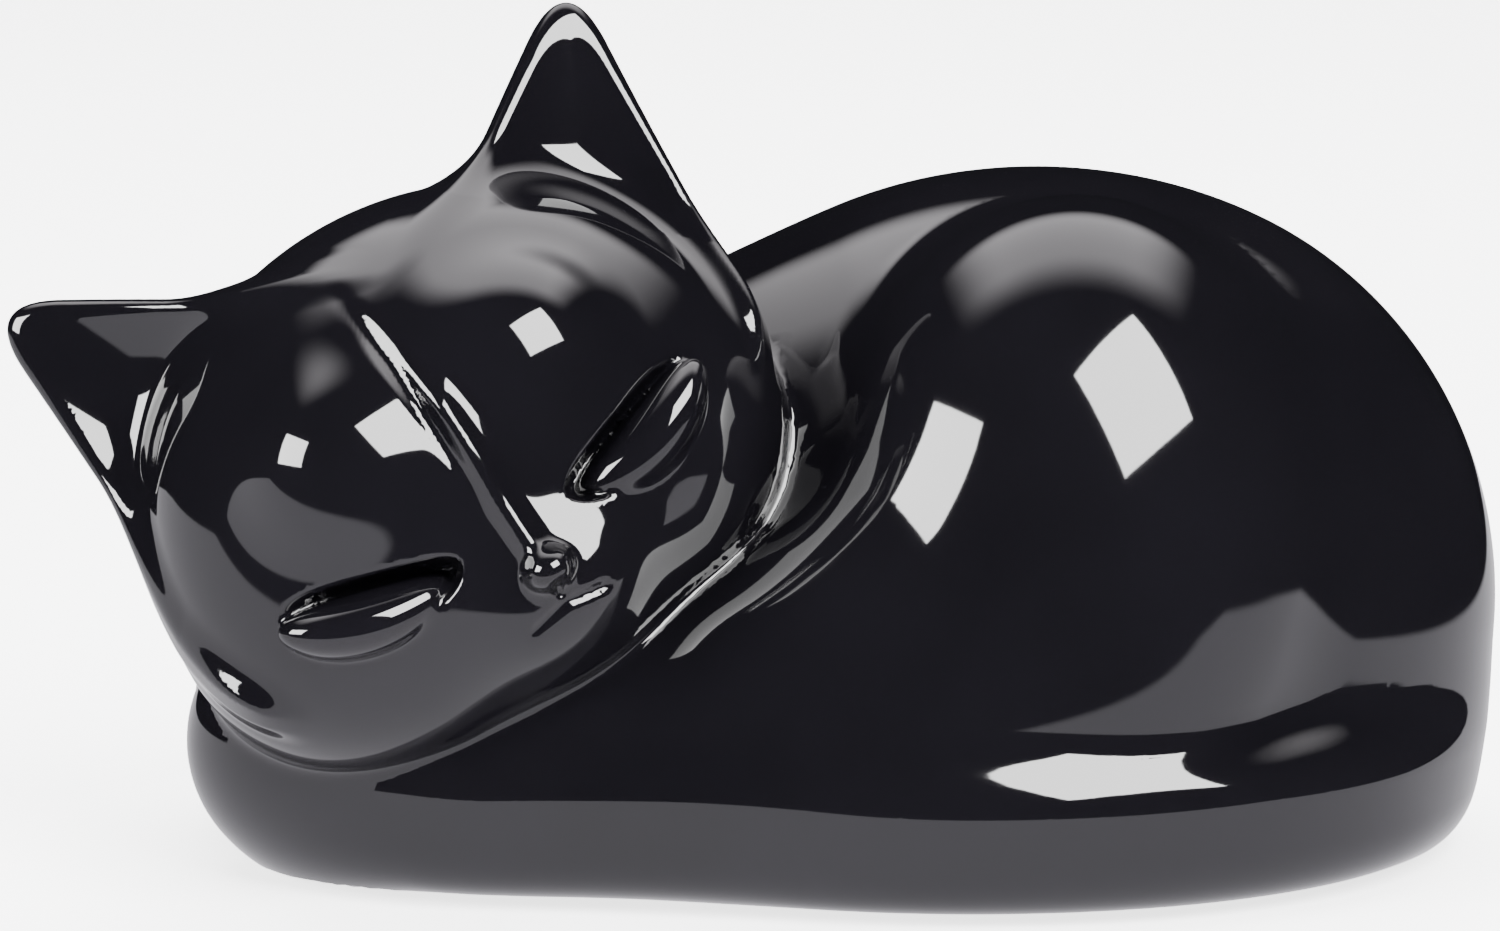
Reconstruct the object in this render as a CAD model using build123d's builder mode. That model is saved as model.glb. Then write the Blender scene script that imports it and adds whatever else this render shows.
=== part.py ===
"""Sleeping-cat figurine in glazed ceramic: hollow castings joined with slip, on felt pads.

Frame: millimetres, +Z up, front towards -Y, origin under the middle of the overall box.
Each section of the cat is its own solid, seated face to face on the section that carries it.
"""

import os
from build123d import *

# ---- driving dimensions -------------------------------------------------------------------
length, depth, height = 160.0, 94.0, 92.0  # overall, along X, Y and Z
wall = 4.0  # thickness of a casting
base_wall = 5.0  # thickness of the closed underside
foot_edge = 8.0  # radius along the lower edge

pad_radius = 5.0
pad_thickness = 2.0
pad_stand = 1.0  # how far a pad stands below the ceramic
pad_clearance = 0.1  # round a pad in its recess
drain_radius = 6.0  # hole in the underside that the slip is drained through
vent_radius = 3.0  # hole between the two hollows, for the air when firing

tail_height = 18.0
tail_edge = 6.0  # radius along the tail

head_roll = -32.0  # the head leans to the left, seen from the front
head_yaw = 12.0  # and is turned a little to the right

ear_thickness = 8.0
ear_rim = 2.6  # left all round the hollow of an ear
ear_hollow = 4.5  # depth of that hollow
ear_tip_radius = 3.5
ear_root = 0.35  # part of an ear's height that reaches on into the head before trimming

# The forms below are drawn for a cat of this size and stretched to the overall sizes above.
drawn_length, drawn_depth, drawn_height = 160.0, 94.0, 92.0
stretch = Vector(length / drawn_length, depth / drawn_depth, height / drawn_height)
head_scale = (length / drawn_length + depth / drawn_depth + height / drawn_height) / 3

foot_z = pad_stand  # the ceramic's lowest plane


def stretched(x, y, z):
    """A drawn position, or drawn radii, in a cat of the chosen size."""
    return (x * stretch.X, y * stretch.Y, z * stretch.Z)


def head_sized(x, y, z):
    """The same for the head, which keeps its proportions."""
    return (x * head_scale, y * head_scale, z * head_scale)


# ---- forms of the body: radii and centres ---------------------------------------------------
trunk_forms = {
    "rump": (stretched(45.5, 43.5, 47.0), stretched(34.5, 3.5, 26.5)),
    "trunk": (stretched(46.0, 43.5, 47.0), stretched(24.5, 3.5, 26.5)),
    "flank": (stretched(38.0, 33.0, 38.0), stretched(-5.0, 8.0, 21.0)),
    "shoulder": (stretched(34.0, 32.0, 34.0), stretched(-28.0, 10.0, 18.0)),
}
foot_outline = [
    (stretched(53.0, 40.0, 0), stretched(23.0, 5.0, 0)),
    (stretched(35.0, 31.0, 0), stretched(-27.5, 4.0, 0)),
]
foot_height = 20.0 * stretch.Z

leg_forms = {
    "haunch": (stretched(28.5, 26.0, 31.0), stretched(32.5, -17.0, 42.5)),
    "thigh": (stretched(24.0, 16.0, 16.0), stretched(18.0, -25.0, 29.0)),
    "hock": (stretched(34.0, 12.0, 12.0), stretched(-1.0, -30.0, 21.5)),
}
paw_forms = {
    "left": (stretched(15.0, 15.0, 15.0), stretched(-48.0, -14.0, 14.0)),
    "right": (stretched(15.0, 12.0, 13.0), stretched(-35.0, -22.0, 13.0)),
}
tail_outline = [
    (stretched(55.5, 47.0, 0), stretched(21.0, 0.0, 0)),
    (stretched(25.0, 28.0, 0), stretched(-32.0, -8.0, 0)),
]

# ---- forms of the head, given across, forwards (negative) and up the head ---------------------
head_at = stretched(-34.0, -20.0, 44.5)
head_radii = head_sized(33.0, 25.0, 28.5)
cheek = (head_sized(17.5, 17.0, 16.0), head_sized(15.5, -2.0, -8.0))
brow = (head_sized(9.0, 8.0, 9.0), head_sized(10.0, -17.5, 7.5))
muzzle = (head_sized(11.5, 12.0, 9.0), head_sized(0.5, -14.5, -14.0))
bridge = (head_sized(2.6, 5.0, 17.0), head_sized(0.5, -21.5, -1.0))
nose = (head_sized(2.8, 2.4, 2.2), head_sized(0.5, -25.5, -11.0))
eye = (head_sized(10.5, 5.0, 4.6), head_sized(16.5, -24.0, -5.0))
eye_slope = 18.0
ear_points = {
    # tip, inner end and outer end of the ear where it leaves the head
    "left": [(-31.0, 6.0, 40.0), (-9.0, 4.0, 27.0), (-31.0, 6.0, 3.0)],
    "right": [(38.5, 2.0, 37.5), (16.0, 2.0, 23.5), (36.0, 2.0, 5.0)],
}


def ellipsoid(form):
    """A closed ellipsoid from its radii and centre."""
    radii, at = form
    return Location(at) * scale(Sphere(1, mode=Mode.PRIVATE), by=radii, mode=Mode.PRIVATE)


def inner(form):
    """The same form, smaller all round by the wall."""
    radii, at = form
    return (tuple(r - wall for r in radii), at)


def mirrored(form):
    """The same form on the other side of the head."""
    radii, (x, y, z) = form
    return (radii, (-x, y, z))


def cut_below(level):
    """Take away what lies under a level plane, inside the open BuildPart."""
    reach = 3 * max(length, depth, height)
    with Locations((0, 0, level)):
        Box(reach, reach, reach, mode=Mode.SUBTRACT, align=(Align.CENTER, Align.CENTER, Align.MAX))


# ---- body: trunk, rump and shoulders in one hollow casting -----------------------------------
with BuildPart() as body_form:
    with BuildSketch(Plane.XY.offset(foot_z)):
        for (rx, ry, _), (x, y, _) in foot_outline:
            with Locations((x, y)):
                Ellipse(rx, ry)
        make_hull()
    extrude(amount=foot_height)
    fillet(body_form.edges().group_by(Axis.Z)[0], radius=foot_edge)
    for form in trunk_forms.values():
        add(ellipsoid(form))
    cut_below(foot_z)

with BuildPart() as body_hollow:
    with BuildSketch(Plane.XY.offset(foot_z + base_wall)):
        for (rx, ry, _), (x, y, _) in foot_outline:
            with Locations((x, y)):
                Ellipse(rx - foot_edge, ry - foot_edge)
        make_hull()
    extrude(amount=foot_height - base_wall)
    for form in trunk_forms.values():
        add(ellipsoid(inner(form)))
    cut_below(foot_z + base_wall)

pad_places = [
    stretched(x, y, 0)
    for x in (-36.0, 50.0)
    for y in (-11.0, 18.0)
]
pad_recess = pad_thickness - pad_stand
drain_at = stretched(8.0, 2.0, 0)
passage = Plane(origin=head_at, z_dir=Vector(*trunk_forms["shoulder"][1]) - Vector(*head_at))

with BuildPart() as body:
    add(body_form.part)
    add(body_hollow.part, mode=Mode.SUBTRACT)
    with Locations((drain_at[0], drain_at[1], foot_z)):
        Cylinder(drain_radius, 4 * base_wall, mode=Mode.SUBTRACT)
    with Locations(*[(x, y, foot_z) for x, y, _ in pad_places]):
        Cylinder(pad_radius + pad_clearance, 2 * pad_recess, mode=Mode.SUBTRACT)
    with BuildSketch(passage):
        Circle(vent_radius)
    extrude(amount=min(trunk_forms["shoulder"][0]), mode=Mode.SUBTRACT)

# ---- head: hollow casting with cheeks, brows, nose and closed eyes ----------------------------
head_turn = Location(head_at, (0, head_roll, 0)) * Location((0, 0, 0), (0, 0, head_yaw))

with BuildPart() as head_form:
    add(ellipsoid((head_radii, (0, 0, 0))))
    for form in (cheek, brow):
        add(ellipsoid(form))
        add(ellipsoid(mirrored(form)))
    for form in (muzzle, bridge, nose):
        add(ellipsoid(form))
    for side in (1, -1):
        radii, (x, y, z) = eye
        lid = scale(Sphere(1, mode=Mode.PRIVATE), by=radii, mode=Mode.PRIVATE)
        add(Location((side * x, y, z), (0, -side * eye_slope, 0)) * lid, mode=Mode.SUBTRACT)

head_solid = head_turn * head_form.part
head_hollow = head_turn * ellipsoid(inner((head_radii, (0, 0, 0))))

with BuildPart() as head:
    add(head_solid)
    add(head_hollow, mode=Mode.SUBTRACT)
    add(body_form.part, mode=Mode.SUBTRACT)

# ---- hind leg: haunch and the foot that reaches forward under the chin ------------------------
with BuildPart() as leg_form:
    for form in leg_forms.values():
        add(ellipsoid(form))
    cut_below(foot_z)

with BuildPart() as hind_leg:
    add(leg_form.part)
    add(body_form.part, mode=Mode.SUBTRACT)
    add(head_solid, mode=Mode.SUBTRACT)

# ---- tail: a band that lies round the front of the cat ------------------------------------------
with BuildPart() as tail_form:
    with BuildSketch(Plane.XY.offset(foot_z)):
        for (rx, ry, _), (x, y, _) in tail_outline:
            with Locations((x, y)):
                Ellipse(rx, ry)
        make_hull()
    extrude(amount=tail_height)
    fillet(tail_form.edges().group_by(Axis.Z)[-1], radius=tail_edge)
    fillet(tail_form.edges().group_by(Axis.Z)[0], radius=tail_edge / 2)
    with Locations((0, trunk_forms["rump"][1][1], 0)):
        Box(2 * length, 2 * depth, 4 * height, mode=Mode.SUBTRACT,
            align=(Align.CENTER, Align.MIN, Align.CENTER))

with BuildPart() as tail:
    add(tail_form.part)
    add(body_form.part, mode=Mode.SUBTRACT)
    add(leg_form.part, mode=Mode.SUBTRACT)
    add(head_solid, mode=Mode.SUBTRACT)

# ---- forepaws, tucked under the chin ----------------------------------------------------------
with BuildPart() as forepaws:
    for form in paw_forms.values():
        add(ellipsoid(form))
    cut_below(foot_z)
    for other in (head_solid, body_form.part, leg_form.part, tail.part):
        add(other, mode=Mode.SUBTRACT)


# ---- ears: thick-rimmed cups, trimmed to the head ------------------------------------------------
def ear_cup(points):
    """An ear standing on the head: its tip, then the inner and outer end of its root."""
    tip, root_in, root_out = [Vector(*head_sized(*p)) for p in points]
    root = (root_in + root_out) / 2
    across = (root_out - root_in).normalized()
    up = (tip - root) - across * (tip - root).dot(across)
    face = across.cross(up.normalized())
    if face.Y > 0:
        face = face * -1
    flat = Plane(origin=root, x_dir=up, z_dir=face)
    corners = [flat.to_local_coords(p) for p in (tip, root_in, root_out)]
    deeper = [c + (c - corners[0]) * ear_root for c in corners[1:]]
    outline = [(c.X, c.Y) for c in (corners[0], *deeper)]
    with BuildPart() as cup:
        with BuildSketch(flat):
            Polygon(*outline, align=None)
            fillet(vertices().sort_by(Axis.X)[-1], radius=ear_tip_radius)
        extrude(amount=ear_thickness / 2, both=True)
        fillet(cup.edges().group_by(Axis(root, face))[0], radius=ear_thickness / 2.2)
        fillet(cup.edges().group_by(Axis(root, face))[-1], radius=ear_rim / 2.2)
        with BuildSketch(flat.offset(ear_thickness / 2)):
            Polygon(*outline, align=None)
            fillet(vertices().sort_by(Axis.X)[-1], radius=ear_tip_radius)
            offset(amount=-ear_rim, kind=Kind.ARC)
        extrude(amount=-ear_hollow, taper=30, mode=Mode.SUBTRACT)
    return head_turn * cup.part


cup_left = ear_cup(ear_points["left"])
cup_right = ear_cup(ear_points["right"])

with BuildPart() as ear_left:
    add(cup_left)
    add(head_solid, mode=Mode.SUBTRACT)
    add(body_form.part, mode=Mode.SUBTRACT)

with BuildPart() as ear_right:
    add(cup_right)
    add(head_solid, mode=Mode.SUBTRACT)
    add(body_form.part, mode=Mode.SUBTRACT)

# ---- write every section and the four felt pads -----------------------------------------------
os.makedirs("parts", exist_ok=True)
sections = {
    "body": body,
    "head": head,
    "ear_left": ear_left,
    "ear_right": ear_right,
    "hind_leg": hind_leg,
    "tail": tail,
    "forepaws": forepaws,
}
for name, section in sections.items():
    solids = section.part.solids().sort_by(SortBy.VOLUME)
    solid = solids[-1]  # a trim can leave a loose crumb behind
    solid.label = name
    export_step(solid, f"parts/{name}.step")
    box = solid.bounding_box()
    print(name, solid.is_valid, [round(v.volume, 1) for v in solids],
          [round(v, 1) for v in (*box.min, *box.max)])

pad_names = ["felt_pad_front_left", "felt_pad_back_left", "felt_pad_front_right", "felt_pad_back_right"]
for name, (x, y, _) in zip(pad_names, pad_places):
    with BuildPart() as felt_pad:
        with Locations((x, y, 0)):
            Cylinder(pad_radius, pad_thickness, align=(Align.CENTER, Align.CENTER, Align.MIN))
    felt_pad.part.label = name
    export_step(felt_pad.part, f"parts/{name}.step")
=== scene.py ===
# %% [markdown]
# # A sleeping cat in black glazed ceramic
#
# The real cat is slip-cast: hollow clay sections are joined with wet slip, smoothed over with a
# sponge, dipped in glaze and fired into one shining skin. It could be modelled by pushing a
# subdivision mesh about by hand, but a seam or a pinch in such a mesh shows at once in a mirror
# finish. Here the skin is a formula instead: every swell of the body is an ellipsoid, the
# ellipsoids are blended as distance fields, and the result is cut back into the same sections as
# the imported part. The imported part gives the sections, their places and their sizes.

import math

import bpy
import mathutils
import numpy as np
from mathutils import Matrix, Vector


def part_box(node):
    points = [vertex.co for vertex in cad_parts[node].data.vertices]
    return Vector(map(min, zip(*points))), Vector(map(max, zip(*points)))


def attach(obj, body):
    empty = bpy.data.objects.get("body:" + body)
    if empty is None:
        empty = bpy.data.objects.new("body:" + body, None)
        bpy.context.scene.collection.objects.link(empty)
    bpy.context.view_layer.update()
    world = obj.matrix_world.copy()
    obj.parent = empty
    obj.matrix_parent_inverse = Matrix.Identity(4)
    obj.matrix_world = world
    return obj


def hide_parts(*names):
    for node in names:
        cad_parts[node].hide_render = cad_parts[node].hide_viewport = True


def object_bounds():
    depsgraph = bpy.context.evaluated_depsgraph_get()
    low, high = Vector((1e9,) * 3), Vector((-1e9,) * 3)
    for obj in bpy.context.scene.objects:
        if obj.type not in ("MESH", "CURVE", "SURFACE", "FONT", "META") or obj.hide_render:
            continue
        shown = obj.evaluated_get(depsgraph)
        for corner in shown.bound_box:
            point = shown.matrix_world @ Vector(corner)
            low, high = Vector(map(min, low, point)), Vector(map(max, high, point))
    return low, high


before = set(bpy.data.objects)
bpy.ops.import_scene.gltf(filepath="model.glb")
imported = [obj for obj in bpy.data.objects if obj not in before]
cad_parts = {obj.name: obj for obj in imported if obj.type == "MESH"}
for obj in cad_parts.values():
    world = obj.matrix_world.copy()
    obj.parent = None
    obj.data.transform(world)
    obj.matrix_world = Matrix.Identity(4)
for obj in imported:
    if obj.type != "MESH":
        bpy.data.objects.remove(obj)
cad_box = [list(corner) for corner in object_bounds()]
low, high = (np.array(corner) for corner in cad_box)
print("sections and pads", len(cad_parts))
print("CAD box", np.round(low, 4), np.round(high, 4), "full")

# %% [markdown]
# ## Units
#
# A potter's drawing is in millimetres, and so are the forms here, for a cat 160 x 94 x 92 mm.
# Blender works in metres. The drawing could be typed in metres and fixed to one size, but here it
# is stretched to the real box, so that it follows the part if that is packed at another size.

# %% Sizes and the two ways to place a form
MM = 0.001
DRAWN = np.array([160.0, 94.0, 92.0])
FELT_STANDS = 1.0  # the glaze stops this far above the table, on its felt pads
stretch = (high - low) / MM / DRAWN
head_scale = float(stretch.mean())
foot_z = FELT_STANDS + low[2] / MM
origin = np.array([(low[0] + high[0]) / 2, (low[1] + high[1]) / 2, low[2]]) / MM
print("stretch", np.round(stretch, 4), "origin", np.round(origin, 3))


def placed(x, y, z):
    """A drawn position in the real cat, in millimetres."""
    return origin + np.array([x, y, z]) * stretch


def sized(x, y, z):
    """Drawn radii in the real cat."""
    return np.array([x, y, z]) * stretch


# %% [markdown]
# ## Distance fields
#
# A field tells how far a point is from a form: negative inside it and positive outside. Boolean
# modifiers would leave a hard line where two forms meet, and a bevel on that line often tears.
# With fields, `blend` joins two forms with a soft fillet, as a sponge does on wet clay, and
# `carve` takes one form away and leaves a soft lip.

# %% Ellipsoid, blend and carve
TINY = 1e-9


def ellipsoid(p, radii, at):
    """Distance to an ellipsoid, exact enough close to its surface."""
    q = (p - at) / radii
    reach = np.sqrt((q * q).sum(-1))
    steepness = np.sqrt(((q / radii) ** 2).sum(-1)) + TINY
    return reach * (reach - 1.0) / steepness


def blend(a, b, soft):
    """Union of two fields with a fillet of about this radius."""
    h = np.maximum(soft - np.abs(a - b), 0.0) / soft
    return np.minimum(a, b) - h * h * soft * 0.25


def carve(a, b, soft):
    """Field a with b taken away, its lip softened."""
    h = np.maximum(soft - np.abs(a + b), 0.0) / soft
    return np.maximum(a, -b) + h * h * soft * 0.25


print("a point 2 mm off a 10 mm ball:", round(float(ellipsoid(np.array([12.0, 0, 0]), 10.0, 0.0)), 3))

# %% [markdown]
# ## Turned forms and shallow lines
#
# The head leans on the paws, so its features are easier to give in axes that lean with it. A line
# pressed into clay, such as a mouth, needs no form of its own: a narrow bump, added to the field
# along the line, moves the skin in or out. `window` makes it start and end gently.

# %% Turns, dents and windows
def turned(p, matrix, at):
    """Points given in the axes of a turned form."""
    return (p - at) @ matrix


def turn(axis, degrees):
    """Rotation matrix about one of the three axes."""
    a = math.radians(degrees)
    c, s = math.cos(a), math.sin(a)
    m = np.eye(3)
    i, j = {"x": (1, 2), "y": (2, 0), "z": (0, 1)}[axis]
    m[i, i] = m[j, j] = c
    m[i, j], m[j, i] = -s, s
    return m


def dent(x, width):
    """A smooth bump of height 1 across a line."""
    return np.exp(-((x / width) ** 2))


def window(x, start, end, ease):
    """1 between two values, easing to 0 outside them."""
    a = np.clip((x - start) / ease + 0.5, 0, 1)
    b = np.clip((end - x) / ease + 0.5, 0, 1)
    return a * a * (3 - 2 * a) * b * b * (3 - 2 * b)


# %% [markdown]
# ## Slabs
#
# The tail and the broad foot of the cat are bands: seen from above they have an outline, and they
# rise from the table to one height with a rounded edge. An extruded curve with a bevel would do
# for one band alone. As a field the band blends into its neighbours like every other form.

# %% A rounded edge and a slab
def rounded(a, b, edge):
    """What two fields share, with a rounded edge where they meet."""
    a, b = a + edge, b + edge
    return np.minimum(np.maximum(a, b), 0) + np.hypot(np.maximum(a, 0), np.maximum(b, 0)) - edge


def slab(p, outline, soft, height, edge):
    """An outline made of blended ellipses, raised from the foot to a height."""
    flat = None
    for (rx, ry), (x, y) in outline:
        d = ellipsoid(p[..., :2], sized(rx, ry, 1)[:2], placed(x, y, 0)[:2])
        flat = d if flat is None else blend(flat, d, soft)
    top = foot_z + height * stretch[2]
    up = np.abs(p[..., 2] - (foot_z + top) / 2) - (top - foot_z) / 2
    return rounded(flat, up, edge)


# %% [markdown]
# ## Trunk and foot
#
# The curled trunk is highest over the rump and falls towards the shoulders, and low down it
# spreads into a foot that stands flat. One long ellipsoid would be too even, so four of them step
# down along the back. The first two nearly coincide, which keeps the top of the rump long.

# %% Trunk
TRUNK = [  # radii, then centre
    ((45.5, 39.5, 46.0), (34.5, 7.0, 26.0)),
    ((45.5, 37.5, 46.0), (24.5, 9.0, 26.0)),
    ((36.0, 31.0, 37.0), (-5.0, 10.0, 21.0)),
    ((34.0, 31.0, 34.0), (-28.0, 11.0, 18.0)),
]
TRUNK_SOFT = (5.0, 12.0, 14.0)
FOOT = [((53.0, 40.0), (23.0, 5.0)), ((35.0, 31.0), (-27.5, 4.0))]
FOOT_SOFT, FOOT_HEIGHT, FOOT_EDGE, FOOT_INTO_TRUNK = 20.0, 20.0, 9.0, 8.0


def form(p, which):
    """An ellipsoid given as drawn radii and centre."""
    radii, at = which
    return ellipsoid(p, sized(*radii), placed(*at))


def body_field(p):
    """Trunk, shoulders and the broad foot they spread into."""
    d = form(p, TRUNK[0])
    for which, soft in zip(TRUNK[1:], TRUNK_SOFT):
        d = blend(d, form(p, which), soft)
    return blend(d, slab(p, FOOT, FOOT_SOFT, FOOT_HEIGHT, FOOT_EDGE), FOOT_INTO_TRUNK)


# %% [markdown]
# ## Hind leg, tail and paws
#
# The hind leg is folded flat against the side: a high round haunch, a thigh in front of it, and a
# hock that runs forward under the chin. The tail lies round the front, and two forepaws are
# tucked under the chin. Each is blended within itself here, and keeps its own field, so that the
# crease towards its neighbour can be as tight as it is on the real cat.

# %% Hind leg, tail and forepaws
HAUNCH = ((28.8, 27.0, 38.5), (32.3, -14.5, 34.0))
THIGH = ((28.0, 17.0, 20.0), (18.0, -23.0, 21.0))
HOCK = ((38.0, 13.0, 15.0), (-1.0, -26.5, 16.0))
THIGH_SOFT, HOCK_SOFT = 12.0, 14.0
TAIL = [((55.5, 46.0), (21.0, 0.0)), ((25.0, 27.0), (-32.0, -8.0))]
TAIL_SOFT, TAIL_HEIGHT, TAIL_EDGE = 26.0, 17.0, 6.0
PAWS = [((15.0, 15.0, 15.0), (-47.8, -14.0, 14.0)), ((15.0, 12.0, 13.0), (-38.0, -21.0, 13.0))]
PAWS_SOFT = 8.0


def leg_field(p):
    """Haunch, thigh and the hock that reaches forward."""
    d = blend(form(p, HAUNCH), form(p, THIGH), THIGH_SOFT)
    return blend(d, form(p, HOCK), HOCK_SOFT)


def tail_field(p):
    """The band along the front."""
    return slab(p, TAIL, TAIL_SOFT, TAIL_HEIGHT, TAIL_EDGE)


def paw_field(p):
    """Two forepaws folded under the chin."""
    return blend(form(p, PAWS[0]), form(p, PAWS[1]), PAWS_SOFT)


# %% [markdown]
# ## Skull, cheeks, brows and muzzle
#
# Everything on the head is given in its own axes: across, forwards (negative) and up. The head
# leans to the left and is turned a little to the right. A cat's head could start from a ball that
# is pulled about, but the parts under its skin are simple and round, so they are put in one by
# one, and the cheeks and brows are made once and mirrored.

# %% Round forms of the head: radii, then place
HEAD_TURN = turn("y", -32.0) @ turn("z", 12.0)
head_at = placed(-34.0, -20.0, 44.5)
SKULL = ((33.0, 25.0, 28.5), (0.0, 0.0, 0.0))
CHEEK = ((17.5, 17.0, 16.0), (15.5, -2.0, -8.0))
BROW = ((9.0, 8.0, 9.0), (10.5, -17.0, 7.5))
MUZZLE = ((10.5, 12.0, 8.5), (0.5, -14.5, -14.5))
CHEEK_SOFT, BROW_SOFT, MUZZLE_SOFT = 9.0, 5.0, 7.0
SIDES = (-1, 1)


def mirrored(which, side):
    """A form of the right half of the face, or its mirror image on the left."""
    radii, (x, y, z) = which
    return radii, (side * x, y, z)


def head_forms(q):
    """The round forms under the skin of the head."""
    d = ellipsoid(q, *SKULL)
    for side in SIDES:
        d = blend(d, ellipsoid(q, *mirrored(CHEEK, side)), CHEEK_SOFT)
        d = blend(d, ellipsoid(q, *mirrored(BROW, side)), BROW_SOFT)
    return blend(d, ellipsoid(q, *MUZZLE), MUZZLE_SOFT)


# %% [markdown]
# ## Forehead fold, nose and mouth
#
# A fold runs down the forehead and turns into the ridge of the nose, which ends in a small round
# tip. The mouth is a shallow line that droops at both ends. A bump map would leave them flat in
# the outline and in the mesh, so they are pressed into the field itself.

# %% Lines pressed into the face
FACE_MIDDLE = 0.3
FACE_FRONT = (8.0, 40.0, 6.0)  # start, end and ease, forwards
FOLD_DEPTH, FOLD_WIDTH, FOLD_ASIDE, FOLD_RUN = 0.75, 1.0, 1.6, (1.0, 20.0, 9.0)
RIDGE_RISE, RIDGE_WIDTH, RIDGE_RUN = 1.5, 1.7, (-12.0, 11.0, 9.0)
NOSE_TIP = ((2.5, 2.4, 2.0), (0.5, -27.2, -11.4))
NOSE_SOFT = 1.8
MOUTH_DEPTH, MOUTH_WIDTH, MOUTH_RUN = 0.45, 0.6, (-4.6, 4.6, 1.6)
MOUTH_DOWN, MOUTH_DROOP = 15.2, 0.22
LIP_SPLIT_DEPTH, LIP_SPLIT_WIDTH, LIP_SPLIT_RUN = 0.6, 0.6, (-14.6, -12.6, 0.8)


def with_face_lines(d, q):
    """The head's field with its fold, nose and mouth."""
    x, z, front = q[..., 0] - FACE_MIDDLE, q[..., 2], window(-q[..., 1], *FACE_FRONT)
    d = d + FOLD_DEPTH * front * dent(x + FOLD_ASIDE, FOLD_WIDTH) * window(z, *FOLD_RUN)
    d = d - RIDGE_RISE * front * dent(x, RIDGE_WIDTH) * window(z, *RIDGE_RUN)
    d = blend(d, ellipsoid(q, *NOSE_TIP), NOSE_SOFT)
    lip = z + MOUTH_DOWN + MOUTH_DROOP * np.abs(x)
    d = d + MOUTH_DEPTH * front * dent(lip, MOUTH_WIDTH) * window(x, *MOUTH_RUN)
    return d + LIP_SPLIT_DEPTH * front * dent(x, LIP_SPLIT_WIDTH) * window(z, *LIP_SPLIT_RUN)


# %% [markdown]
# ## Closed eyes
#
# A sleeping eye is a leaf-shaped hollow with the closed lid as a swelling in it. It could be
# painted on, but on black glaze only the shape shows, as a bright line along the lid. So a bent
# ellipsoid is carved out, and a second one, set deeper and lower, fills most of the hollow again.

# %% Eyes
EYE_AT = (16.8, -22.6, -5.4)
EYE_SLOPE = 16.0
EYE_SAG = 0.016  # bends the leaf downwards in the middle, per mm
EYE_HOLLOW = ((10.5, 5.6, 3.3), (0.0, 0.0, 0.0))
EYE_LID = ((9.4, 4.6, 3.4), (0.0, 2.4, -1.5))
EYE_SOFT = 0.8


def with_eyes(d, q):
    """The head's field with both closed eyes."""
    for side in SIDES:
        at = np.array(EYE_AT) * (side, 1, 1)
        e = turned(q, turn("y", -side * EYE_SLOPE), at)
        none = 0 * e[..., 0]
        sag = e - np.stack([none, none, EYE_SAG * e[..., 0] ** 2], -1)
        d = carve(d, ellipsoid(sag, *EYE_HOLLOW), EYE_SOFT)
        d = blend(d, ellipsoid(sag, *EYE_LID), EYE_SOFT)
    return d


def head_field(p):
    """The whole head without its ears."""
    q = turned(p, HEAD_TURN, head_at) / head_scale
    return with_eyes(with_face_lines(head_forms(q), q), q) * head_scale


print("head at", np.round(head_at, 1), "scale", round(head_scale, 4))

# %% [markdown]
# ## The ears
#
# On the real cat an ear is a sheet of clay, pinched into a cup with a thick rounded rim. A
# cone with a hollow would be too round inside. Here the ear is a triangle in plan, bent so that
# both of its edges come forward, and it runs on into the skull so that the blend has a root.

# %% A triangle with round corners
CORNER_SOFT = 2.2  # how wide the corners are blended, in corner radii


def triangle(u, v, corners, rounding):
    """Distance in the plane to a triangle with rounded corners."""
    middle = np.mean(corners, 0)
    d = None
    for i in range(3):
        a, b = np.array(corners[i]), np.array(corners[(i + 1) % 3])
        n = np.array([b[1] - a[1], a[0] - b[0]])
        n = n / np.linalg.norm(n)
        if np.dot(n, middle - a) > 0:
            n = -n
        side = (u - a[0]) * n[0] + (v - a[1]) * n[1] + rounding
        d = side if d is None else -blend(-d, -side, CORNER_SOFT * rounding)
    return d - rounding


# %% The plane of each ear
EARS = {  # tip, inner root and outer root, in the head's axes
    "ear_left": [(-32.2, 6.0, 41.0), (-9.0, 4.0, 27.0), (-31.0, 6.0, 3.0)],
    "ear_right": [(39.5, 2.0, 37.8), (16.0, 2.0, 23.5), (36.0, 2.0, 5.0)],
}


def ear_plane(name):
    """Middle of the root, the three axes of the ear, and its corners in its plane."""
    tip, root_in, root_out = [np.array(c) for c in EARS[name]]
    root = (root_in + root_out) / 2
    across = (root_out - root_in) / np.linalg.norm(root_out - root_in)
    up = (tip - root) - across * np.dot(tip - root, across)
    up = up / np.linalg.norm(up)
    face = np.cross(across, up)
    if face[1] > 0:
        face = -face
    flat = [np.array([(c - root) @ across, (c - root) @ up]) for c in (tip, root_in, root_out)]
    return root, (across, up, face), flat


for name in EARS:
    print(name, "stands", round(float(ear_plane(name)[2][0][1]), 1), "mm above its root")

# %% Ear sheets
EAR_TIP = 3.4  # radius of the tip
EAR_ROOT = 0.35  # how far the sheet runs on into the skull, as a share of its height
EAR_CUP = 0.034  # how fast the edges come forward
EAR_BACK = 1.8  # how far the middle of the sheet is set back
EAR_RIM = 1.8  # radius of the rim's edge
EAR_HALF = 1.9  # half of the thickness at the tip
EAR_SWELL = 1.3  # what the root adds to that half
EAR_DEEPEST = 1.3  # the sheet swells down to here, as a share of its height below the tip
EAR_CAUTION = 0.85  # shortens the field where the bend makes it too long


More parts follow.
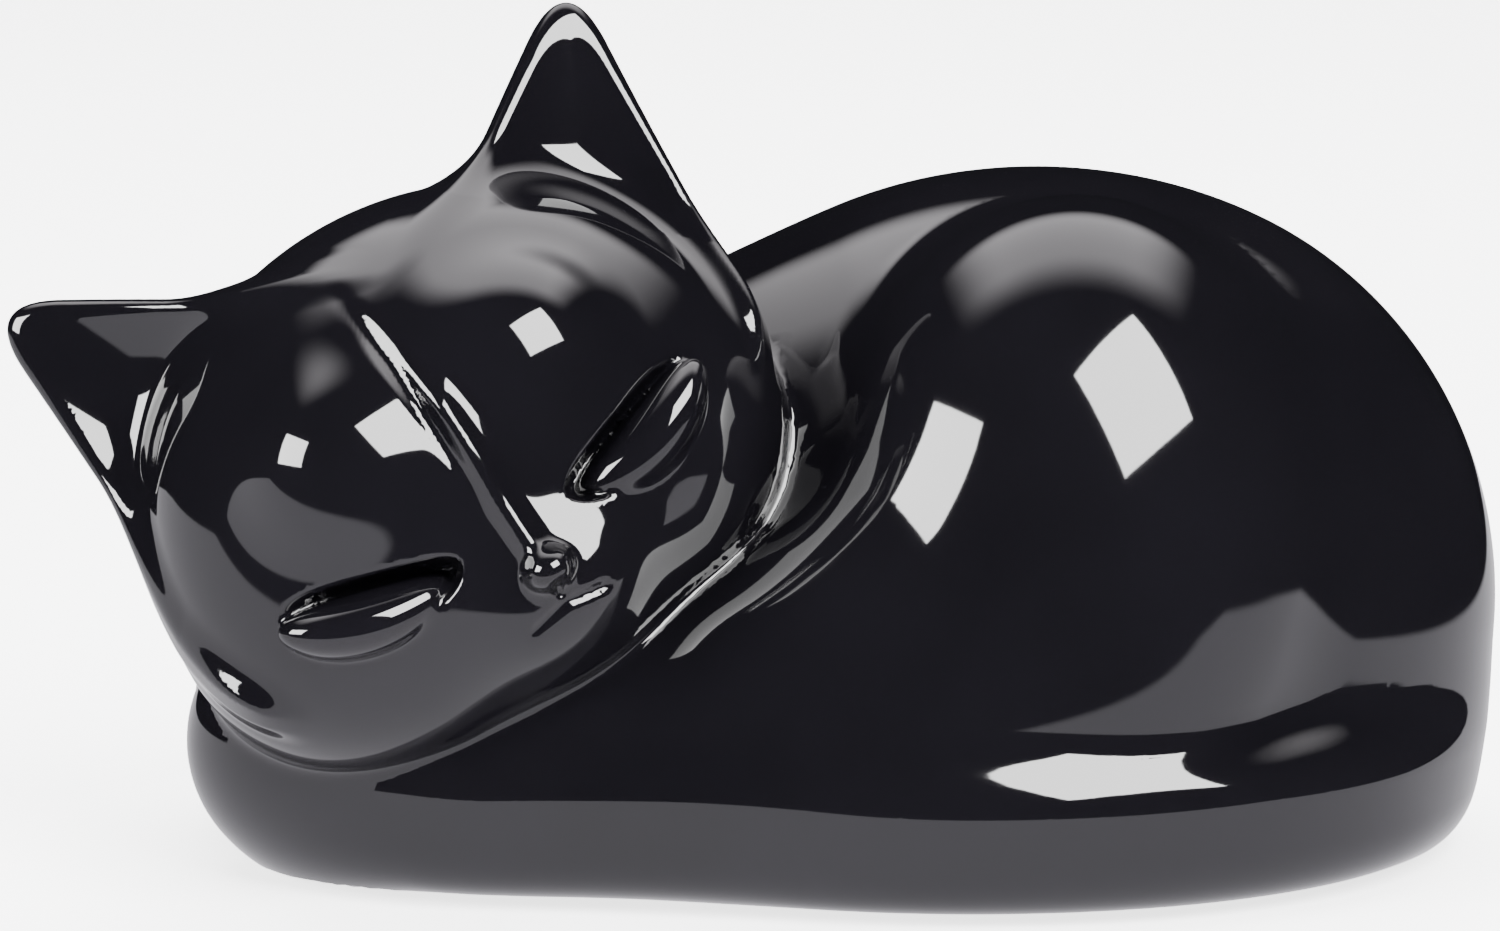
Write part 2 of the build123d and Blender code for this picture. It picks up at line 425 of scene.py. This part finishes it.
def ear_field(p, name):
    """One ear as a bent sheet."""
    root, axes, flat = ear_plane(name)
    q = turned(p, HEAD_TURN, head_at) / head_scale - root
    u, v, w = [q @ axis for axis in axes]
    tip = flat[0]
    deep = [tip] + [c + (c - tip) * EAR_ROOT for c in flat[1:]]
    plan = triangle(u, v, deep, EAR_TIP)
    lean = u - tip[0] * np.clip(v / tip[1], 0, 1)
    bent = w - EAR_CUP * lean ** 2 + EAR_BACK
    half = EAR_HALF + EAR_SWELL * np.clip(1 - v / tip[1], 0, EAR_DEEPEST)
    return rounded(plan, np.abs(bent) - half, EAR_RIM) * head_scale * EAR_CAUTION


# %% [markdown]
# ## One skin
#
# The glaze runs over all the joints, so the whole cat is one blended field. How soft each crease
# is tells how much slip the potter left in it: the head rests in a tight crease, and the ears
# flow into the skull. Joining seven finished meshes would not give such creases.

# %% The glazed surface of the whole cat
SECTIONS = ["body", "hind_leg", "tail", "forepaws", "head", "ear_left", "ear_right"]
CREASE = {"hind_leg": 3.0, "forepaws": 4.0, "tail": 3.5}
EAR_CREASE, NECK_CREASE = 5.5, 1.4


def fields(p):
    """The separate field of every section."""
    return {
        "body": body_field(p),
        "hind_leg": leg_field(p),
        "tail": tail_field(p),
        "forepaws": paw_field(p),
        "head": head_field(p),
        "ear_left": ear_field(p, "ear_left"),
        "ear_right": ear_field(p, "ear_right"),
    }


def skin(f, p):
    """The glazed surface, flat underneath."""
    d = f["body"]
    for name, soft in CREASE.items():
        d = blend(d, f[name], soft)
    head = f["head"]
    for name in EARS:
        head = blend(head, f[name], EAR_CREASE)
    return np.maximum(blend(d, head, NECK_CREASE), foot_z - p[..., 2])


# %% [markdown]
# ## Several sections
#
# The part keeps its sections as separate pieces, and so does this model. Cutting the skin with
# planes would leave straight seams. Instead a section owns the skin wherever its own field is the
# nearest, so the seam follows the crease by itself. Under the seam the section runs on a little,
# just below its neighbour, so no slit can open.

# %% One section of the skin
LAP = 0.5  # how far a section runs on under its neighbour, mm
SINK = 0.25  # how far below the neighbour's skin it lies there, mm
TAIL_END = 3.5  # the tail owns nothing far behind this depth; the rump takes over


def section_field(p, name):
    """One section: the skin, cut where another section is nearer."""
    f = fields(p)
    behind = np.maximum(p[..., 1] - placed(0, TAIL_END, 0)[1], 0)
    near = dict(f, tail=f["tail"] + behind)
    others = np.minimum.reduce([near[n] for n in SECTIONS if n != name])
    own = (near[name] - others) / 2 - LAP
    sink = SINK * np.clip((own + LAP) / LAP, 0, 1)
    return np.maximum(skin(f, p) + sink, own)


# %% [markdown]
# ## Surface net
#
# A field has no faces yet. Joined balls and a voxel remesh would give a similar skin, but would
# round off the fold and the lids. A surface net is short to write: it samples the field on a
# grid, puts one vertex in every cell that the surface passes through, and joins the four cells
# round every crossed edge with a quad.

# %% One vertex in every crossed cell
CORNERS = [(i, j, k) for i in (0, 1) for j in (0, 1) for k in (0, 1)]


def net_vertices(values):
    """Vertices in grid units, and the number of each cell's vertex or -1."""
    inside = values < 0
    n = [s - 1 for s in values.shape]
    count = np.zeros(n, np.int8)
    for i, j, k in CORNERS:
        count += inside[i:i + n[0], j:j + n[1], k:k + n[2]]
    cells = np.argwhere((count > 0) & (count < len(CORNERS)))
    index = np.full(n, -1, np.int64)
    index[tuple(cells.T)] = np.arange(len(cells))
    total = np.zeros((len(cells), 3))
    hits = np.zeros(len(cells))
    at = {c: values[tuple((cells + c).T)] for c in CORNERS}
    for a in CORNERS:
        for axis in range(3):
            if a[axis] == 0:
                b = tuple(v + (m == axis) for m, v in enumerate(a))
                cross = (at[a] < 0) != (at[b] < 0)
                t = at[a][cross] / (at[a][cross] - at[b][cross])
                point = np.tile(np.array(a, float), (len(t), 1))
                point[:, axis] += t
                total[cross] += point
                hits[cross] += 1
    return cells + total / hits[:, None], index


# %% One quad round every crossed edge
RING = ((0, 0), (-1, 0), (-1, -1), (0, -1))


def net_quads(values, index):
    """Quads that join the cells' vertices, facing outwards."""
    inside = values < 0
    shape = values.shape
    quads = []
    for axis in range(3):
        one, two = [m for m in range(3) if m != axis]
        here, there = [slice(None)] * 3, [slice(None)] * 3
        here[axis], there[axis] = slice(0, shape[axis] - 1), slice(1, None)
        edges = np.argwhere(inside[tuple(here)] != inside[tuple(there)])
        keep = (edges[:, one] > 0) & (edges[:, two] > 0)
        keep &= (edges[:, one] < shape[one] - 1) & (edges[:, two] < shape[two] - 1)
        edges = edges[keep]
        ring = []
        for step_one, step_two in RING:
            cell = edges.copy()
            cell[:, one] += step_one
            cell[:, two] += step_two
            ring.append(index[tuple(cell.T)])
        quad = np.stack(ring, 1)
        outwards = inside[tuple(edges.T)] ^ (axis == 1)
        quad[~outwards] = quad[~outwards][:, ::-1]
        quads.append(quad)
    return np.concatenate(quads)


# %% [markdown]
# ## True to the field
#
# The net's vertices lie close to the skin but not on it, and a mirror finish shows every
# hundredth of a millimetre. More cells would only make the facets smaller. Instead each vertex is
# pulled along the field's slope onto the surface, and the mesh's normals are read from the field
# too, so neighbouring sections mirror the room without a break.

# %% Slope, pull and normals
PULLS = 2
PULL_STEP, NORMAL_STEP = 0.05, 0.04  # how far apart the slope is measured, mm
LEAST_SLOPE = 0.2
HIDDEN_DEPTH = -0.3  # deeper than this a vertex belongs to a cut face, mm


def slope(field, p, step):
    """Gradient of a field at some points."""
    g = np.zeros_like(p)
    for axis in range(3):
        d = np.zeros(3)
        d[axis] = step
        g[:, axis] = (field(p + d) - field(p - d)) / (2 * step)
    return g


def whole(p):
    """The skin at any points."""
    return skin(fields(p), p)


def pulled(p, name, cell):
    """Vertices moved onto the section's surface."""
    for _ in range(PULLS):
        g = slope(lambda s: section_field(s, name), p, PULL_STEP)
        steepness = np.maximum((g * g).sum(-1), LEAST_SLOPE)
        step = g * (section_field(p, name) / steepness)[:, None]
        p = p - np.clip(step, -cell / 2, cell / 2)
    return p


def glaze_normals(p, name):
    """Normals of the skin, and of the section where a vertex lies on a cut face."""
    normals = slope(whole, p, NORMAL_STEP)
    normals /= np.linalg.norm(normals, axis=1)[:, None] + TINY
    inner = whole(p) < HIDDEN_DEPTH
    own = slope(lambda s: section_field(s, name), p[inner], PULL_STEP)
    normals[inner] = own / (np.linalg.norm(own, axis=1)[:, None] + TINY)
    return normals


# %% [markdown]
# ## Meshing every section
#
# The real sections differ in detail: the rump is one smooth swell, and the face has lines about
# a millimetre wide. One grid for the whole cat would be too coarse for the face or too heavy for
# the rump, so every section is sampled on a grid of its own.

# %% The grid round one section
ROOM = 6.0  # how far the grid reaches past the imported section, mm
ROOM_UNDER = 1.5  # how far it reaches below the flat foot, in cells
OUTSIDE = 0.01


def sampled(name, cell):
    """Lowest corner of the grid, and the section's field on it, closed at its edges."""
    lo, hi = (np.array(corner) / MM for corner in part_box(name))
    lo, hi = lo - ROOM, hi + ROOM
    if lo[2] < foot_z:
        lo[2] = foot_z - ROOM_UNDER * cell
    axes = [np.arange(lo[m], hi[m] + cell, cell) for m in range(3)]
    values = np.empty([len(a) for a in axes])
    for i, x in enumerate(axes[0]):
        plane = np.stack(np.meshgrid([x], axes[1], axes[2], indexing="ij"), -1)
        values[i] = section_field(plane, name)[0]
    for m in range(3):
        ends = np.moveaxis(values, m, 0)
        ends[[0, -1]] = np.maximum(ends[[0, -1]], OUTSIDE)
    return lo, values


# %% Mesh the sections
def section_mesh(name, cell):
    """The section's object, meshed in cells of this many millimetres."""
    lo, values = sampled(name, cell)
    vertices, index = net_vertices(values)
    p = pulled(lo + vertices * cell, name, cell)
    mesh = bpy.data.meshes.new(name + "_glazed")
    mesh.from_pydata((p * MM).tolist(), [], net_quads(values, index).tolist())
    mesh.polygons.foreach_set("use_smooth", [True] * len(mesh.polygons))
    mesh.validate()
    mesh.normals_split_custom_set_from_vertices(glaze_normals(p, name).tolist())
    piece = bpy.data.objects.new(name + "_glazed", mesh)
    bpy.context.scene.collection.objects.link(piece)
    return piece


CELL = {"body": 0.95, "hind_leg": 0.8, "tail": 0.9, "forepaws": 0.7, "head": 0.5}
CELL["ear_left"] = CELL["ear_right"] = 0.45
coarse = 1.0
glazed = {}
for name in SECTIONS:
    glazed[name] = section_mesh(name, CELL[name] * coarse)
    print(name, len(glazed[name].data.polygons), "quads")

# %% [markdown]
# ## Black glaze
#
# The cat is covered with a glass-like coat, nearly black through and through. A glossy layer over
# a painted colour would look like lacquer, so here the base itself is nearly black and all the
# light comes from the glassy surface. The glaze flows a little as it melts: a very faint, slow
# waviness bends the reflections, and a fine grain like orange peel softens their edges.

# %% Glaze material
def node(tree, kind, **inputs):
    """Adds a node and sets its named inputs."""
    n = tree.nodes.new(kind)
    for key, value in inputs.items():
        n.inputs[key.replace("_", " ")].default_value = value
    return n


def two_tone(tree, texture, dark, light):
    """A ramp from one colour to another, driven by a texture."""
    ramp = tree.nodes.new("ShaderNodeValToRGB")
    ramp.color_ramp.elements[0].color = (*dark, 1)
    ramp.color_ramp.elements[1].color = (*light, 1)
    tree.links.new(texture.outputs["Fac"], ramp.inputs["Fac"])
    return ramp


glaze = bpy.data.materials.new("black_glaze")
glaze.use_nodes = True
tree = glaze.node_tree
shader = tree.nodes["Principled BSDF"]
shader.inputs["IOR"].default_value = 1.6
shader.inputs["Roughness"].default_value = 0.045
place = tree.nodes.new("ShaderNodeTexCoord")
flow = node(tree, "ShaderNodeTexNoise", Scale=55.0, Detail=2.0, Roughness=0.4)
peel = node(tree, "ShaderNodeTexNoise", Scale=900.0, Detail=1.0, Roughness=0.5)
tint = node(tree, "ShaderNodeTexNoise", Scale=40.0, Detail=3.0, Roughness=0.6)
wave = node(tree, "ShaderNodeBump", Strength=0.05, Distance=0.0004)
fine = node(tree, "ShaderNodeBump", Strength=0.03, Distance=0.00003)
for texture in (flow, peel, tint):
    tree.links.new(place.outputs["Object"], texture.inputs["Vector"])
ramp = two_tone(tree, tint, (0.0016, 0.0015, 0.0020), (0.0034, 0.0031, 0.0042))
tree.links.new(ramp.outputs["Color"], shader.inputs["Base Color"])
tree.links.new(flow.outputs["Fac"], wave.inputs["Height"])
tree.links.new(peel.outputs["Fac"], fine.inputs["Height"])
tree.links.new(wave.outputs["Normal"], fine.inputs["Normal"])
tree.links.new(fine.outputs["Normal"], shader.inputs["Normal"])

# %% Glaze every section and let it ride
for name, piece in glazed.items():
    piece.data.materials.append(glaze)
    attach(piece, "root")
    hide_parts(name)
print("glazed", len(glazed), "sections")

# %% [markdown]
# ## Felt pads
#
# Four small discs under the cat keep it from scratching the shelf. They are dark, matt felt with
# a fine grain of fibres. Single hairs would never be seen there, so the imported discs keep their
# shape, and a small noise gives the felt its grain in colour and in relief.

# %% Felt material
PADS = ["felt_pad_front_left", "felt_pad_back_left", "felt_pad_front_right", "felt_pad_back_right"]
felt = bpy.data.materials.new("grey_felt")
felt.use_nodes = True
tree = felt.node_tree
shader = tree.nodes["Principled BSDF"]
shader.inputs["Roughness"].default_value = 0.95
shader.inputs["Sheen Weight"].default_value = 0.4
place = tree.nodes.new("ShaderNodeTexCoord")
fibre = node(tree, "ShaderNodeTexNoise", Scale=3000.0, Detail=3.0)
bump = node(tree, "ShaderNodeBump", Strength=0.6, Distance=0.0002)
tree.links.new(place.outputs["Object"], fibre.inputs["Vector"])
ramp = two_tone(tree, fibre, (0.015, 0.015, 0.016), (0.06, 0.06, 0.064))
tree.links.new(ramp.outputs["Color"], shader.inputs["Base Color"])
tree.links.new(fibre.outputs["Fac"], bump.inputs["Height"])
tree.links.new(bump.outputs["Normal"], shader.inputs["Normal"])
for name in PADS:
    bpy.data.objects[name].data.materials.clear()
    bpy.data.objects[name].data.materials.append(felt)

# %% [markdown]
# ## Paper sweep
#
# The cat stands on white paper that curves up behind it. A plane and a wall would show a line
# between them. The paper is kept out of the glaze's reflections: a sheet all round would make the
# black cat grey, and in a studio what the glaze mirrors is set with cards of chosen sizes.

# %% Paper
BEND_STEPS = 16


def sweep_mesh(name, front, back, left, right, rise, bend):
    """A sheet that lies flat, then curves up behind."""
    profile = [(front, 0.0), (back - bend, 0.0)]
    for i in range(1, BEND_STEPS + 1):
        a = math.radians(90 * i / BEND_STEPS)
        profile.append((back - bend + bend * math.sin(a), bend - bend * math.cos(a)))
    profile.append((back, rise))
    points = [(x, y, z) for y, z in profile for x in (left, right)]
    faces = [(2 * i, 2 * i + 1, 2 * i + 3, 2 * i + 2) for i in range(len(profile) - 1)]
    mesh = bpy.data.meshes.new(name)
    mesh.from_pydata(points, [], faces)
    mesh.polygons.foreach_set("use_smooth", [True] * len(mesh.polygons))
    sheet = bpy.data.objects.new(name, mesh)
    bpy.context.scene.collection.objects.link(sheet)
    return sheet


paper = sweep_mesh("paper", front=-1.8, back=1.6, left=-3.0, right=3.0, rise=2.2, bend=0.5)
paper.location.z = float(low[2])
paper.visible_glossy = False
paper_look = bpy.data.materials.new("white_paper")
paper_look.use_nodes = True
shader = paper_look.node_tree.nodes["Principled BSDF"]
shader.inputs["Base Color"].default_value = (0.88, 0.88, 0.885, 1)
shader.inputs["Roughness"].default_value = 0.9
shader.inputs["Specular IOR Level"].default_value = 0.0
shader.inputs["Emission Color"].default_value = (1, 1, 1, 1)
shader.inputs["Emission Strength"].default_value = 2.7
paper.data.materials.append(paper_look)
print("paper", len(paper.data.polygons), "faces")

# %% [markdown]
# ## Cards that only the glaze sees
#
# The grey band low on the cat is the table top in the glaze, and the soft sheen on its head and
# back is the ceiling. A level card stands for each. Its glow fades towards its edges, because a
# card with a hard edge would draw a line across the back.

# %% Cards
def math_node(tree, operation, *inputs):
    """A maths node fed by links or by numbers."""
    n = tree.nodes.new("ShaderNodeMath")
    n.operation = operation
    for socket, value in zip(n.inputs, inputs):
        if isinstance(value, float):
            socket.default_value = value
        else:
            tree.links.new(value, socket)
    return n.outputs[0]


def fade(tree, along, half, soft):
    """1 in the middle of a card, easing to 0 at its edge, along one axis."""
    n = tree.nodes.new("ShaderNodeMapRange")
    n.interpolation_type = "SMOOTHSTEP"
    n.inputs["From Min"].default_value = half
    n.inputs["From Max"].default_value = half * (1 - soft)
    tree.links.new(math_node(tree, "ABSOLUTE", along), n.inputs["Value"])
    return n.outputs["Result"]


def glow_material(name, half_x, half_y, strength, tint, soft):
    """A glow that fades towards the card's edges."""
    look = bpy.data.materials.new(name)
    look.use_nodes = True
    tree = look.node_tree
    tree.nodes.clear()
    split = tree.nodes.new("ShaderNodeSeparateXYZ")
    place = tree.nodes.new("ShaderNodeTexCoord")
    tree.links.new(place.outputs["Object"], split.inputs["Vector"])
    halves = (("X", half_x), ("Y", half_y))
    fades = [fade(tree, split.outputs[axis], half, soft) for axis, half in halves]
    level = math_node(tree, "MULTIPLY", math_node(tree, "MULTIPLY", *fades), strength)
    glow = node(tree, "ShaderNodeEmission", Color=(*tint, 1))
    tree.links.new(level, glow.inputs["Strength"])
    out = tree.nodes.new("ShaderNodeOutputMaterial")
    tree.links.new(glow.outputs[0], out.inputs["Surface"])
    return look


def card(name, at, size, strength, tint, soft):
    """A level glowing sheet, fading over this share of its width."""
    x, y = size[0] / 2, size[1] / 2
    mesh = bpy.data.meshes.new(name)
    mesh.from_pydata([(-x, -y, 0), (x, -y, 0), (x, y, 0), (-x, y, 0)], [], [(0, 1, 2, 3)])
    mesh.materials.append(glow_material(name, x, y, strength, tint, soft))
    sheet = bpy.data.objects.new(name, mesh)
    sheet.location = at
    bpy.context.scene.collection.objects.link(sheet)
    for ray in ("camera", "diffuse", "shadow", "transmission"):
        setattr(sheet, "visible_" + ray, False)
    print(name, "at", np.round(at, 4), "size", size)


over_paper = float(low[2]) + 0.0002
card("table_card", (-0.22, 0.13, over_paper), (0.90, 0.52), 1.35, (0.96, 0.94, 1.0), soft=0.06)
card("ceiling_card", (0.0, 0.45, 1.15), (2.2, 1.5), 3.6, (1.0, 0.97, 1.0), soft=0.6)

# %% [markdown]
# ## Soft panels in a dark room
#
# Two softboxes draw the bright shapes on the haunch and the face. A third lights the paper from
# above and isn't mirrored. A studio picture wrapped round the scene would light it in one step,
# but black glaze is seen only by what it mirrors, and panels can be moved one by one.

# %% Panels, each aimed at the cat
def panel(name, at, size, power, turn_by=0.0, seen_in_glaze=True):
    """A soft rectangular light at a place, aimed at the middle of the cat."""
    light = bpy.data.lights.new(name, "AREA")
    light.shape = "RECTANGLE"
    light.size, light.size_y = size
    light.energy = power
    lamp = bpy.data.objects.new(name, light)
    middle = (low + high) / 2
    away = np.array(at, float)
    lamp.location = (middle + away).tolist()
    aim = mathutils.Vector((-away).tolist()).to_track_quat("-Z", "Y")
    lamp.rotation_euler = (aim @ mathutils.Quaternion((0, 0, 1), math.radians(turn_by))).to_euler()
    lamp.visible_glossy = seen_in_glaze
    bpy.context.scene.collection.objects.link(lamp)
    print(name, round(float(np.linalg.norm(away)), 2), "m away")


panel("overhead", at=(0.0, 0.45, 1.1), size=(1.6, 1.0), power=50.0, seen_in_glaze=False)
panel("key_right", at=(0.38, -0.62, 0.58), size=(0.60, 0.58), power=34.0, turn_by=20)
panel("key_left", at=(-0.85, -0.50, 0.32), size=(0.50, 0.42), power=20.0)
world = bpy.data.worlds.new("dark_room")
world.use_nodes = True
world.node_tree.nodes["Background"].inputs["Color"].default_value = (0.010, 0.010, 0.012, 1)
bpy.context.scene.world = world

# %% [markdown]
# ## Camera
#
# The cat is looked at from the front and a little from above, as on a shelf just below eye level.
# A long lens keeps its proportions. A wide one from nearer would also fill the frame, but would
# swell the face, which lies nearest.

# %% Camera on the cat's face
ELEVATION = math.radians(9.0)
DISTANCE = 0.660
TARGET = np.array([-0.0019, 0.0, 0.0414])
eye_at = TARGET + DISTANCE * np.array([0.0, -math.cos(ELEVATION), math.sin(ELEVATION)])
lens = bpy.data.cameras.new("camera")
lens.lens = 145.7
lens.sensor_width = 36.0
camera = bpy.data.objects.new("camera", lens)
camera.location = eye_at.tolist()
camera.rotation_euler = (math.pi / 2 - ELEVATION, 0, 0)
bpy.context.scene.collection.objects.link(camera)
bpy.context.scene.camera = camera
print("camera at", np.round(eye_at, 3))

# %% Sizes for the record, and finish
print("cad", cad_box)
